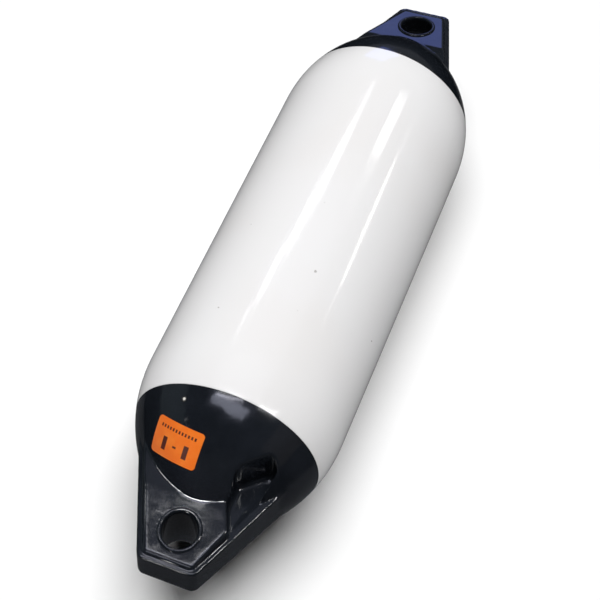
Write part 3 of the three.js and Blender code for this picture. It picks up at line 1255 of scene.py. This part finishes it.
@dataclass
class AirValve:
    """Needle valve in the front dome: a small rubber plug with a rounded rim round a pierced button."""

    end: RoundedEnd
    radius: float = 1.6 * MM
    from_seam: float = 7.5 * MM
    angle: float = math.radians(24.5)
    depth: float = 3 * MM
    rim_height: float = 0.18 * MM
    rim_foot: float = 0.05 * MM
    rim_half_share: float = 0.18
    groove_depth: float = 0.3 * MM
    groove_share: float = 0.6
    button_height: float = 0.25 * MM
    button_sink: float = 0.1 * MM
    button_share: float = 0.55
    needle_top: float = 0.15 * MM
    needle_share: float = 0.12
    needle_foot_share: float = 0.1
    round_steps: int = 6
    steps: int = 40

    def outline(self) -> list[tuple[float, float]]:
        """Outline of the plug, from its foot over its rim and button to the needle hole.

        Returns:
            Points as (height, radius).
        """
        radius, floor = self.radius, -self.groove_depth
        points = [(-self.depth, 0.0), (-self.depth, radius)]
        for i in range(self.round_steps + 1):
            turn = i / self.round_steps * math.pi
            out = 1 - self.rim_half_share + self.rim_half_share * math.cos(turn)
            points.append((self.rim_height * math.sin(turn) + self.rim_foot, radius * out))
        points.append((floor, self.groove_share * radius))
        for i in range(self.round_steps):
            turn = i / self.round_steps * math.pi / 2
            height = self.button_height * math.sin(turn) - self.button_sink
            points.append((height, self.button_share * radius * math.cos(turn)))
        points.append((self.needle_top, self.needle_share * radius))
        return [*points, (floor, self.needle_foot_share * radius), (floor, 0.0)]

    def build(self) -> None:
        """Builds the plug, proud of the dome by a hair."""
        frame = DomePlace(self.end, self.from_seam, self.angle).matrix()
        bm = spin_solid(self.outline(), self.steps, upright=True)
        bmesh.ops.transform(bm, matrix=frame, verts=bm.verts[:])
        piece = finish_piece(bm, "air_valve_plug", ValveRubber(frame).make())
        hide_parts("air_valve")


@dataclass(frozen=True)
class Lamp:
    """A rectangular light that is only mirrored in the vinyl, as bright as its glow beside a white floor.

    Its spread is the angle of the cone that each spot of it shines into.
    """

    name: str
    place: tuple[float, float, float]
    size: tuple[float, float]
    glow: float
    colour: tuple[float, float, float] = (1.0, 1.0, 1.0)
    along: tuple[float, float, float] = (1.0, 0.0, 0.0)
    aim: tuple[float, float, float] = (0.0, 0.0, 0.06)
    spread: float = math.pi

    def hang(self) -> None:
        """Puts the light up, facing its aim, with its first side in the given direction."""
        data = bpy.data.lights.new(self.name, "AREA")
        data.shape = "RECTANGLE"
        data.size, data.size_y = self.size
        data.spread = self.spread
        narrowing = 1 - self.spread / 2 / math.tan(self.spread / 2)
        data.energy = self.glow * math.pi * self.size[0] * self.size[1] * narrowing
        data.color = self.colour
        lamp = bpy.data.objects.new(self.name, data)
        back = (Vector(self.place) - Vector(self.aim)).normalized()
        side = Vector(self.along)
        side = (side - back * side.dot(back)).normalized()
        turn = Matrix((side, back.cross(side), back)).transposed()
        lamp.matrix_world = Matrix.Translation(self.place) @ turn.to_4x4()
        lamp.visible_camera = False
        lamp.visible_diffuse = False
        bpy.context.scene.collection.objects.link(lamp)


@dataclass
class Studio:
    """Pale floor, soft light and the camera at the photograph's angle."""

    camera_place: tuple[float, float, float] = (-0.549652, -0.16517, 0.832887)
    look: tuple[float, float, float] = (0.551623, 0.171073, -0.816362)
    up: tuple[float, float, float] = (0.754842, 0.314012, 0.575856)
    lens: float = 99.32
    sensor: float = 36.0
    clip: tuple[float, float] = (0.05, 50.0)
    floor_half: float = 12.0
    floor_colour: tuple[float, float, float] = (0.9, 0.9, 0.9)
    floor_worn: tuple[float, float, float] = (0.891, 0.891, 0.891)
    floor_patch: float = 0.5
    backdrop: tuple[float, float, float] = (0.9, 0.9, 0.9)
    daylight: float = 3.62
    daylight_spread: float = math.radians(50)
    daylight_lean: tuple[float, float, float] = (math.radians(-1), math.radians(4), 0.0)
    lamps: list[Lamp] = field(default_factory=list)

    def camera(self) -> None:
        """Sets the camera up."""
        data = bpy.data.cameras.new("camera")
        data.lens = self.lens
        data.sensor_width = self.sensor
        data.sensor_fit = "HORIZONTAL"
        data.clip_start, data.clip_end = self.clip
        camera = bpy.data.objects.new("camera", data)
        back, up = -Vector(self.look).normalized(), Vector(self.up).normalized()
        turn = Matrix((up.cross(back), up, back)).transposed()
        camera.matrix_world = Matrix.Translation(self.camera_place) @ turn.to_4x4()
        bpy.context.scene.collection.objects.link(camera)
        bpy.context.scene.camera = camera

    def floor(self) -> None:
        """Lays the plain pale floor."""
        bm = bmesh.new()
        bmesh.ops.create_grid(bm, x_segments=1, y_segments=1, size=self.floor_half)
        floor = show(bm, "floor")
        shades = Shades("floor_paint")
        paint = shades.blend(shades.cloud(self.floor_patch, detail=2), self.floor_colour, self.floor_worn)
        shades.join(paint, shades.shader, "Base Color")
        shades.shader.inputs["Roughness"].default_value = 0.9
        shades.shader.inputs["Specular IOR Level"].default_value = 0.1
        floor.data.materials.append(shades.material)
        floor.visible_glossy = False

    def overhead(self) -> None:
        """Hangs the broad soft light overhead, which isn't mirrored in the vinyl."""
        data = bpy.data.lights.new("overhead", "SUN")
        data.energy = self.daylight
        data.angle = self.daylight_spread
        lamp = bpy.data.objects.new("overhead", data)
        lamp.rotation_euler = self.daylight_lean
        lamp.visible_glossy = False
        bpy.context.scene.collection.objects.link(lamp)

    def surround(self) -> None:
        """Sets the plain backdrop beyond the floor, which only the camera sees."""
        world = bpy.data.worlds.new("studio_air")
        bpy.context.scene.world = world
        world.use_nodes = True
        world.node_tree.nodes["Background"].inputs["Color"].default_value = (*self.backdrop, 1)
        world.cycles_visibility.diffuse = False
        world.cycles_visibility.glossy = False

    def build(self) -> None:
        """Sets the whole studio up."""
        bpy.context.scene.view_settings.view_transform = "Standard"
        self.camera()
        self.floor()
        self.overhead()
        self.surround()
        for lamp in self.lamps:
            lamp.hang()
        LOG.info("studio: %d lamps", len(self.lamps))


def arc_glints() -> list[Lamp]:
    """Small lamps over the front rope eye, mirrored only in the fillet where the wedge meets the dome.

    Returns:
        The lamps, each above its place and aimed at its part of the fillet.
    """
    height, aim_height, side, spread = 0.166, 0.076, 0.02, math.radians(20)
    stands = [
        ((-0.229, -0.047), (-0.173, -0.013), 80),
        ((-0.239, -0.015), (-0.175, -0.009), 80),
        ((-0.229, 0.001), (-0.176, -0.005), 70),
        ((-0.226, 0.014), (-0.176, -0.001), 60),
        ((-0.222, 0.028), (-0.176, 0.002), 60),
        ((-0.237, 0.064), (-0.175, 0.008), 70),
        ((-0.236, 0.09), (-0.174, 0.011), 60),
        ((-0.233, 0.117), (-0.173, 0.014), 45),
        ((-0.207, 0.115), (-0.17, 0.019), 35),
    ]
    return [
        Lamp(f"arc_glint_{i}", (*place, height), (side, side), glow, aim=(*aim, aim_height), spread=spread)
        for i, (place, aim, glow) in enumerate(stands)
    ]


def studio_lamps() -> list[Lamp]:
    """The lamps whose reflections streak the vinyl, and the dim walls round them.

    Returns:
        The lamps.
    """
    grey, teal, brown = (0.9, 0.93, 1.0), (0.75, 0.95, 1.0), (1.0, 0.85, 0.75)
    blue, cool, warm = (0.24, 0.33, 1.0), (0.88, 0.88, 1.0), (1.0, 0.98, 0.93)
    high = TUBE_HEIGHT
    return [
        *arc_glints(),
        Lamp("left_tube_far", (1.362, 0.36, high), (0.045, 0.12), 3),
        Lamp("left_tube_high", (1.272, 0.39, high), (0.065, 0.17), 7),
        Lamp("left_tube_upper", (1.195, 0.41, high), (0.09, 0.22), 7),
        Lamp("left_tube_middle", (1.105, 0.53, high), (0.09, 0.22), 7),
        Lamp("left_tube_lower", (1.022, 0.7, high), (0.075, 0.17), 5.5),
        Lamp("left_tube_end", (0.962, 0.86, high), (0.04, 0.1), 4),
        Lamp("right_window", (1.42, -0.69, high), (0.1, 0.32), 6.5),
        Lamp("right_tube", (1.73, -1.815, high), (0.34, 0.09), 10, warm, along=(-0.29, -0.32, 0.0)),
        Lamp("seam_tube_left", (-0.262, 0.16, high), (0.8, 0.022), 10, along=(0.0, 1.0, 0.0)),
        Lamp("seam_tube_right", (-0.268, -1.07, high), (0.7, 0.026), 60, along=(0.0, 1.0, 0.0)),
        Lamp("seam_tube_cap", (-0.345, 0.16, high), (0.8, 0.03), 18, cool, along=(-0.04, 1.0, 0.0)),
        Lamp("cross_glow", (-0.5, 0.1, high), (1.2, 0.24), 3.6, (0.78, 0.82, 1.0), along=(-0.2, -1.25, 0.0)),
        Lamp(
            "tip_glint", (-0.368, 0.031, 0.0514), (0.06, 0.03), 90, along=(0.0, 1.0, 0.0),
            aim=(-0.212, 0.0, 0.068), spread=math.radians(8),
        ),
        Lamp(
            "ridge_glint", (-0.174, -0.231, 0.289), (0.1, 0.05), 125, along=(0.92, -0.39, 0.0),
            aim=(-0.185, -0.0276, 0.0687), spread=math.radians(8),
        ),
        Lamp("sky_blue", (2.03, 0.52, 0.68), (0.6, 0.6), 1.8, blue),
        Lamp("ceiling", (0.3, 0.1, 2.2), (2.4, 2.4), 0.25, (0.75, 0.78, 1.0)),
        Lamp("left_wall", (0.0, 2.4, 0.8), (3.0, 1.6), 0.17, teal),
        Lamp("right_wall", (0.0, -2.4, 0.8), (3.0, 1.6), 0.1, brown),
        Lamp("front_wall", (-2.4, 0.0, 0.8), (1.6, 3.0), 0.04, grey),
        Lamp("rear_wall", (2.6, 0.0, 0.8), (1.6, 3.0), 0.12, grey),
        Lamp("under_floor", (0.0, 0.0, -1.2), (4.0, 4.0), 0.08, grey),
    ]


def main() -> None:
    """Loads the frame and builds every piece and the studio round it."""
    logging.basicConfig(level=logging.INFO, format="%(name)s %(message)s")
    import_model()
    end = RoundedEnd()
    navy = NavyVinyl().make()
    studio = Studio(lamps=studio_lamps())
    studio.build()
    Barrel(end).build(WhiteVinyl().make())
    EndCap(end, End.FRONT).build(navy, "front_end_cap")
    EndCap(end, End.REAR, twist=math.radians(-6), far_reach=47 * MM).build(navy, "rear_end_cap")
    SizeLabel(end).build()
    AirValve(end).build()


if __name__ == "__main__":
    main()
